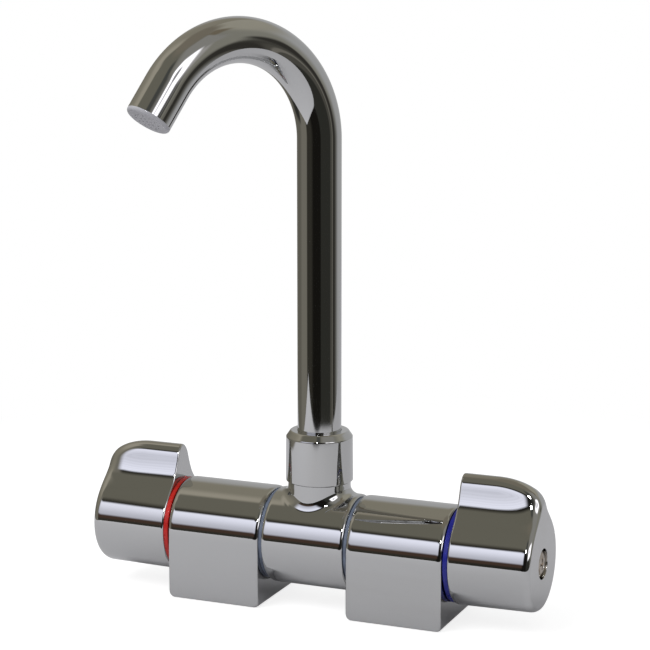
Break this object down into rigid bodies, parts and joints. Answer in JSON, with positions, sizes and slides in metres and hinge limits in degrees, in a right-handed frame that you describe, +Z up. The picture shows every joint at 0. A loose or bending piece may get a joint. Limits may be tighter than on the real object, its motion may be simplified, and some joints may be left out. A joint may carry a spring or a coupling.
{
  "type": "folding mixer tap",
  "caption": "Chromed deck mixer for a caravan sink: a spout that folds flat and swivels between finned hot and cold knobs on rectangular feet.",
  "frame": {"origin": "centre of the base plane, under the spout's column and midway between the inlets", "axes": "+X along the barrel to the cold knob, -Y towards the user, +Z up the spout's column"},
  "size_m": [0.1714, 0.089, 0.2153],
  "materials": {
    "chrome": "bright polished chrome plate",
    "seam_grey": "blue-grey plastic",
    "red_ring": "red plastic",
    "blue_ring": "blue plastic",
    "insert_grey": "grey translucent plastic",
    "bearing_white": "white acetal",
    "brass": "machined brass",
    "steel": "stainless steel",
    "rubber": "black nitrile rubber",
    "ceramic": "lapped ceramic"
  },
  "bodies": {
    "base": {"hot_pedestal": "chrome", "hot_seam_washer": "seam_grey", "hot_fold_screw": "steel", "hot_valve_body": "brass", "hot_valve_o_ring": "rubber", "hot_seat_seal": "rubber", "hot_fixed_disc": "ceramic", "cold_pedestal": "chrome", "cold_seam_washer": "seam_grey", "cold_fold_screw": "steel", "cold_valve_body": "brass", "cold_valve_o_ring": "rubber", "cold_seat_seal": "rubber", "cold_fixed_disc": "ceramic"},
    "tee": {"centre_tee": "chrome", "spout_nut": "chrome", "hot_inner_o_ring": "rubber", "hot_outer_o_ring": "rubber", "cold_inner_o_ring": "rubber", "cold_outer_o_ring": "rubber"},
    "spout": {"spout_tube": "chrome", "spout_tail": "brass", "spout_slip_ring": "bearing_white", "outlet_insert": "insert_grey", "lower_spout_o_ring": "rubber", "upper_spout_o_ring": "rubber"},
    "hot_handle": {"hot_knob": "chrome", "hot_colour_ring": "red_ring", "hot_knob_screw": "steel", "hot_spindle": "brass", "hot_spindle_o_ring": "rubber", "hot_snap_ring": "steel", "hot_turning_disc": "ceramic"},
    "cold_handle": {"cold_knob": "chrome", "cold_colour_ring": "blue_ring", "cold_knob_screw": "steel", "cold_spindle": "brass", "cold_spindle_o_ring": "rubber", "cold_snap_ring": "steel", "cold_turning_disc": "ceramic"}
  },
  "joints": [
    {"name": "spout_fold", "type": "hinge", "parent": "base", "child": "tee", "pos_m": [0, 0, 0.0243], "axis": [1, 0, 0], "range_deg": [0, 90]},
    {"name": "spout_swivel", "type": "hinge", "parent": "tee", "child": "spout", "pos_m": [0, 0, 0.0243], "axis": [0, 0, 1], "continuous": true},
    {"name": "hot_knob_turn", "type": "hinge", "parent": "base", "child": "hot_handle", "pos_m": [0, 0, 0.0243], "axis": [1, 0, 0], "range_deg": [0, 90]},
    {"name": "cold_knob_turn", "type": "hinge", "parent": "base", "child": "cold_handle", "pos_m": [0, 0, 0.0243], "axis": [1, 0, 0], "range_deg": [0, 90]}
  ]
}
